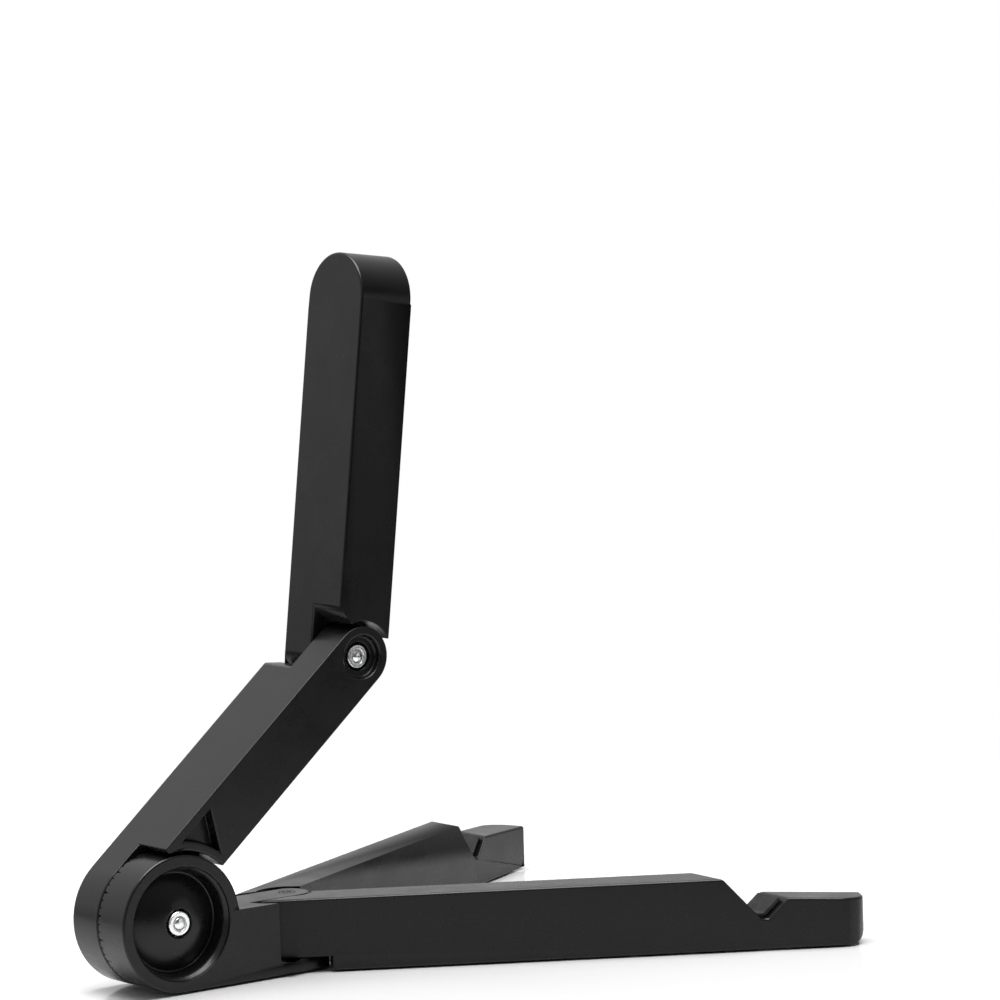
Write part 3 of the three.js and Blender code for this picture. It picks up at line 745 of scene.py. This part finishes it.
def bolt_profile(sizes, head, end):
    """Rows of a bolt from its socket's floor over the head and along the shaft to its end."""
    under = head - BUTTON_HEIGHT
    shaft = sizes.bolt_radius
    flat = sizes.socket_across_flats / 2
    floor = head - SOCKET_DEPTH
    dome = np.linspace(0, math.pi / 2, 9)
    dome_radius = BUTTON_TOP_RADIUS + (BUTTON_RADIUS - BUTTON_TOP_RADIUS) * np.sin(dome)
    dome_x = head - BUTTON_DOME_HEIGHT * (1 - np.cos(dome))
    rim_inset, rim_rise = BUTTON_UNDERCUT
    row_step = sizes.thread_pitch / THREAD_ROWS_PER_PITCH
    rows = np.arange(end + THREAD_LENGTH, end + THREAD_STOP, -row_step)
    return np.concatenate(
        [
            [(0, floor), (flat * SOCKET_FLOOR_SHARE, floor), (flat, floor + SOCKET_FLOOR_RISE)],
            [(flat, head - SOCKET_MOUTH), (flat + SOCKET_MOUTH_WIDTH, head - SOCKET_MOUTH_SINK)],
            np.stack([dome_radius, dome_x], -1),
            [(BUTTON_RADIUS, under + rim_rise), (BUTTON_RADIUS - rim_inset, under)],
            [(shaft + SHAFT_FILLET, under), (shaft, under - SHAFT_FILLET)],
            np.stack([np.full_like(rows, shaft), rows], -1),
            [(shaft - inset, end + rise) for inset, rise in BOLT_END],
            [(0, end)],
        ]
    )


def bolt_shape(sizes, head, end):
    """Radius by row and angle of a bolt.

    In the socket it is a hexagon. Along the thread it loses a triangle wave, whose phase is the
    angle over a full turn plus the distance over the pitch.
    """
    under = head - BUTTON_HEIGHT
    flat = sizes.socket_across_flats / 2
    thread_start = end + THREAD_LENGTH

    def shape(profile, columns):
        radius = profile[:, :1]
        x = profile[:, 1:]
        angle = np.linspace(0, 1, columns, endpoint=False)
        wave = np.abs(((angle + x / sizes.thread_pitch) % 1) * 2 - 1)
        start = np.clip((thread_start - x) / THREAD_RUNOUT, 0, 1)
        depth = THREAD_DEPTH * start * (radius > THREAD_LEAST_RADIUS)
        socket = (radius <= flat + NO_RADIUS) & (x > under) & (radius > NO_RADIUS)
        hexagon = hexagon_radius(sizes.socket_across_flats, columns) * radius / flat
        return np.where(socket, hexagon, radius - depth * wave)

    return shape


class STAND_OT_bolts(Operator):
    """Adds both hinge bolts: button head with a socket, shaft, thread and chamfered end"""

    bl_idname = "stand.bolts"
    bl_label = "Bolts"

    def execute(self, context):
        sizes = context.scene.stand_sizes
        for name, (joint, nut_body, _, turned) in HINGES.items():
            low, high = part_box(f"{name}_bolt")
            bolt = turned_piece(
                f"{name}_button_bolt",
                bolt_profile(sizes, high.x, low.x),
                JOINTS[joint]["pos_m"],
                turn=turned * sizes.lower_arm_lean,
                columns=HARDWARE_COLUMNS,
                shape=bolt_shape(sizes, high.x, low.x),
            )
            put(bolt, nut_body, "bright_zinc", f"{name}_bolt")
        return {"FINISHED"}


def washer_profile(inner, outer, low, high):
    """A closed ring section with one rolled and one sheared edge."""
    middle = (inner + outer) / 2
    section = [
        (middle, low),
        (outer - WASHER_EDGE, low),
        (outer, low + WASHER_EDGE),
        (outer, high),
        (inner, high),
        (inner, low),
        (middle, low),
    ]
    return rounded(section, WASHER_EDGE)[:-1]


def cone_profile(inner, outer, low, high, thickness):
    """A closed section of a coned ring, whose outside stands at the high end."""
    way = np.linspace(0, 1, 9)
    radius = inner + (outer - inner) * way
    cone = low + (high - thickness - low) * way
    front = np.stack([radius, cone], -1)
    back = np.stack([radius, cone + thickness], -1)
    return np.concatenate([front, back[::-1]])


class STAND_OT_washers(Operator):
    """Adds the flat washers and the coned spring washers of both tilt hinges"""

    bl_idname = "stand.washers"
    bl_label = "Washers"

    def execute(self, context):
        hole = context.scene.stand_sizes.bolt_radius + WASHER_BOLT_GAP
        for name, (joint, nut_body, head_body, _) in HINGES.items():
            centre = JOINTS[joint]["pos_m"]
            flat_washers = (
                (f"{name}_nut_washer", nut_body, NUT_WASHER_RADIUS),
                (f"{name}_head_washer", head_body, HEAD_WASHER_RADIUS),
            )
            for node, body, outer in flat_washers:
                low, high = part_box(node)
                section = washer_profile(hole, outer, low.x, high.x)
                ring = turned_piece(f"{node}_ring", section, centre, close=True)
                put(ring, body, "bright_zinc", node)
            node = f"{name}_spring_washer"
            low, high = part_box(node)
            section = cone_profile(hole, SPRING_WASHER_RADIUS, low.x, high.x, SPRING_WASHER_THICKNESS)
            cone = turned_piece(f"{node}_cone", section, centre, close=True)
            put(cone, head_body, "spring_steel", node)
        return {"FINISHED"}


def about_z(piece, centre):
    """Stands a piece made about a line along X upright, with its line through the centre."""
    piece.data.transform(Matrix.Translation(centre) @ Matrix.Rotation(-math.pi / 2, 4, "Y"))
    return piece


def pin_outline(low, high, head):
    """Rows of the leg pin from its head to the dimple in its other end."""
    inset, rise = PIN_HEAD_CHAMFER
    return [
        (0, low),
        (head - inset, low),
        (head, low + rise),
        (head, low + PIN_HEAD_HEIGHT),
        (PIN_RADIUS, low + PIN_HEAD_HEIGHT),
        (PIN_RADIUS, high - PIN_END_CHAMFER),
        (PIN_RADIUS - PIN_END_CHAMFER, high),
        *((PIN_RADIUS - inwards, high - sink) for inwards, sink in PIN_DIMPLE),
        (0, high - PIN_DIMPLE_DEPTH),
    ]


class STAND_OT_leg_pivot(Operator):
    """Adds the pin that both legs turn on and the nylon washer between their knuckles"""

    bl_idname = "stand.leg_pivot"
    bl_label = "Leg pivot"

    def execute(self, context):
        low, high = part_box("leg_pivot_pin")
        centre = Vector(((low.x + high.x) / 2, (low.y + high.y) / 2, 0))
        profile = rounded(pin_outline(low.z, high.z, (high.x - low.x) / 2), PIN_ROUNDING)
        pin = about_z(turned_piece("leg_pivot_rivet", profile, (0, 0, 0)), centre)
        put(pin, "base", "spring_steel", "leg_pivot_pin")
        low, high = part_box("leg_pivot_washer")
        section = washer_profile(LEG_WASHER_BORE, (high.x - low.x) / 2, low.z, high.z)
        washer = about_z(turned_piece("leg_pivot_ring", section, (0, 0, 0), close=True), centre)
        put(washer, "base", "white_nylon", "leg_pivot_washer")
        return {"FINISHED"}


def leg_axes(joint, side):
    """Unit vectors along a leg and across it. It stands open by as much as its joint can close."""
    angle = math.radians(-JOINTS[joint]["range_deg"][0])
    along = np.array([side * math.sin(angle), -math.cos(angle), 0])
    return along, np.array([-along[1], along[0], 0])


def middle(node):
    low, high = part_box(node)
    return np.array((low + high) / 2)


class STAND_OT_pads(Operator):
    """Adds the rubber feet under the base and the legs, and the pad on the upper arm"""

    bl_idname = "stand.pads"
    bl_label = "Feet and pads"

    def add_foot(self, node, body, along, across, plan, sizes):
        """Adds a foot that hangs from the top of its CAD node."""
        low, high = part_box(node)
        centre = middle(node)
        centre[2] = high.z
        name = f"{body}_rubber_foot"
        foot = obround_pad(name, centre, along, across, (0, 0, -1), plan, high.z - low.z, sizes)
        put(foot, body, "black_rubber", node)

    def execute(self, context):
        sizes = context.scene.stand_sizes
        self.add_foot("base_foot", "base", (1, 0, 0), (0, -1, 0), BASE_FOOT, sizes)
        for leg, side in zip(LEGS, (-1, 1), strict=True):
            along, across = leg_axes(f"{leg}_swing", side)
            self.add_foot(f"{leg}_foot", leg, along, -across, LEG_FOOT, sizes)
        tilt = sizes.upper_arm_lean
        along = np.array([0, -math.sin(tilt), math.cos(tilt)])
        out = np.array([0, -math.cos(tilt), -math.sin(tilt)])
        centre = middle("upper_arm_pad") - out * ARM_PAD_THICKNESS / 2
        pad = obround_pad(
            "upper_arm_rubber_pad", centre, along, (1, 0, 0), out, ARM_PAD, ARM_PAD_THICKNESS, sizes
        )
        put(pad, "upper_arm", "black_rubber", "upper_arm_pad")
        return {"FINISHED"}


class STAND_OT_notch_linings(Operator):
    """Adds the rubber linings of the two notches"""

    bl_idname = "stand.notch_linings"
    bl_label = "Notch linings"

    def execute(self, context):
        for leg in LEGS:
            lining = moulding(f"{leg}_notch_lining", f"{leg}_notch_pad", LINING_EDGE)
            put(lining, leg, "black_rubber", f"{leg}_notch_pad")
        return {"FINISHED"}


# Stage


def soft_light(name, watts, size, place, target):
    """A square softbox at a place, facing a target, hidden from the camera itself."""
    light = bpy.data.lights.new(name, "AREA")
    light.energy = watts
    light.size = size
    lamp = bpy.data.objects.new(name, light)
    lamp.location = place
    lamp.rotation_euler = (Vector(target) - Vector(place)).to_track_quat("-Z", "Y").to_euler()
    lamp.visible_camera = False
    bpy.context.scene.collection.objects.link(lamp)


def add_floor(stage):
    """A wide pale floor, a little glossy, that turns white away from the stand."""
    half = stage.floor_size / 2
    corners = [(-half, -half, 0), (half, -half, 0), (half, half, 0), (-half, half, 0)]
    floor = mesh_of("floor", corners, [(0, 1, 2, 3)], smooth=False)
    n = Nodes("pale_floor")
    n.tint(n.spread(n.noise(scale=3), 0, 1), scaled(stage.floor, 0.99), stage.floor)
    n.rough(n.spread(n.noise(scale=7), 0.12, 0.14))
    n.fade_to_white(stage.floor_near, stage.floor_far)
    floor.data.materials.append(n.material)


def add_surround(scene, stage):
    """A studio that is brighter to one side, and plain white where the camera sees it."""
    world = bpy.data.worlds.new("studio")
    world.use_nodes = True
    scene.world = world
    tree = world.node_tree
    room = tree.nodes["Background"]
    room.inputs["Color"].default_value = WHITE
    way = tree.nodes.new("ShaderNodeTexCoord")
    side = tree.nodes.new("ShaderNodeVectorMath")
    side.operation = "DOT_PRODUCT"
    side.inputs[1].default_value = stage.surround_turn
    level = tree.nodes.new("ShaderNodeMath")
    level.operation = "ADD"
    level.inputs[1].default_value = stage.surround
    least = tree.nodes.new("ShaderNodeMath")
    least.operation = "MAXIMUM"
    least.inputs[1].default_value = LEAST_SURROUND
    tree.links.new(way.outputs["Generated"], side.inputs[0])
    tree.links.new(side.outputs["Value"], level.inputs[0])
    tree.links.new(level.outputs["Value"], least.inputs[0])
    tree.links.new(least.outputs["Value"], room.inputs["Strength"])
    seen = tree.nodes.new("ShaderNodeBackground")
    seen.inputs["Color"].default_value = WHITE
    seen.inputs["Strength"].default_value = 1.0
    path = tree.nodes.new("ShaderNodeLightPath")
    mix = tree.nodes.new("ShaderNodeMixShader")
    tree.links.new(path.outputs["Is Camera Ray"], mix.inputs["Fac"])
    tree.links.new(room.outputs["Background"], mix.inputs[1])
    tree.links.new(seen.outputs["Background"], mix.inputs[2])
    tree.links.new(mix.outputs["Shader"], tree.nodes["World Output"].inputs["Surface"])


def add_camera(scene, stage):
    """The camera, turned about its own line of sight by the roll."""
    data = bpy.data.cameras.new("camera")
    data.lens = stage.lens
    data.sensor_width = SENSOR_WIDTH
    data.clip_start, data.clip_end = CLIP_RANGE
    camera = bpy.data.objects.new("camera", data)
    level = CAMERA_AHEAD.cross(Vector((0, 0, 1))).normalized()
    above = level.cross(CAMERA_AHEAD)
    right = level * math.cos(CAMERA_ROLL) + above * math.sin(CAMERA_ROLL)
    up = above * math.cos(CAMERA_ROLL) - level * math.sin(CAMERA_ROLL)
    turn = Matrix((right, up, -CAMERA_AHEAD)).transposed()
    camera.matrix_world = Matrix.Translation(CAMERA_PLACE) @ turn.to_4x4()
    scene.collection.objects.link(camera)
    scene.camera = camera


class STAND_OT_stage(Operator):
    """Adds the pale floor, the surround, the softbox above, a card and the camera"""

    bl_idname = "stand.stage"
    bl_label = "Stage"

    def execute(self, context):
        scene = context.scene
        stage = scene.stand_stage
        add_floor(stage)
        add_surround(scene, stage)
        soft_light("softbox_above", stage.top_light, SOFTBOX_SIZE, SOFTBOX_PLACE, SOFTBOX_TARGET)
        soft_light("card_in_front", stage.card_light, CARD_SIZE, CARD_PLACE, CARD_TARGET)
        add_camera(scene, stage)
        scene.view_settings.view_transform = "Standard"
        return {"FINISHED"}


class STAND_PT_panel(Panel):
    """Lists the stand's sizes, finishes and operators"""

    bl_idname = "STAND_PT_panel"
    bl_label = "Folding Tablet Stand"
    bl_space_type = "VIEW_3D"
    bl_region_type = "UI"
    bl_category = "Stand"

    def draw(self, context):
        for group in (context.scene.stand_sizes, context.scene.stand_finishes, context.scene.stand_stage):
            box = self.layout.box()
            for name in group.__annotations__:
                box.prop(group, name)
        for operator in OPERATORS:
            self.layout.operator(operator.bl_idname)


GROUPS = {"stand_sizes": StandSizes, "stand_finishes": StandFinishes, "stand_stage": StandStage}
OPERATORS = (
    STAND_OT_base,
    STAND_OT_legs,
    STAND_OT_arms,
    STAND_OT_lock_nuts,
    STAND_OT_bolts,
    STAND_OT_washers,
    STAND_OT_leg_pivot,
    STAND_OT_pads,
    STAND_OT_notch_linings,
    STAND_OT_stage,
)


def register():
    for group in GROUPS.values():
        bpy.utils.register_class(group)
    for operator in (*OPERATORS, STAND_PT_panel):
        bpy.utils.register_class(operator)
    for name, group in GROUPS.items():
        setattr(bpy.types.Scene, name, PointerProperty(type=group))


def unregister():
    for name in GROUPS:
        delattr(bpy.types.Scene, name)
    for operator in reversed((*OPERATORS, STAND_PT_panel)):
        bpy.utils.unregister_class(operator)
    for group in reversed(GROUPS.values()):
        bpy.utils.unregister_class(group)


def main():
    """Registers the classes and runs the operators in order."""
    register()
    for operator in OPERATORS:
        family, name = operator.bl_idname.split(".")
        getattr(getattr(bpy.ops, family), name)()


if __name__ == "__main__":
    main()
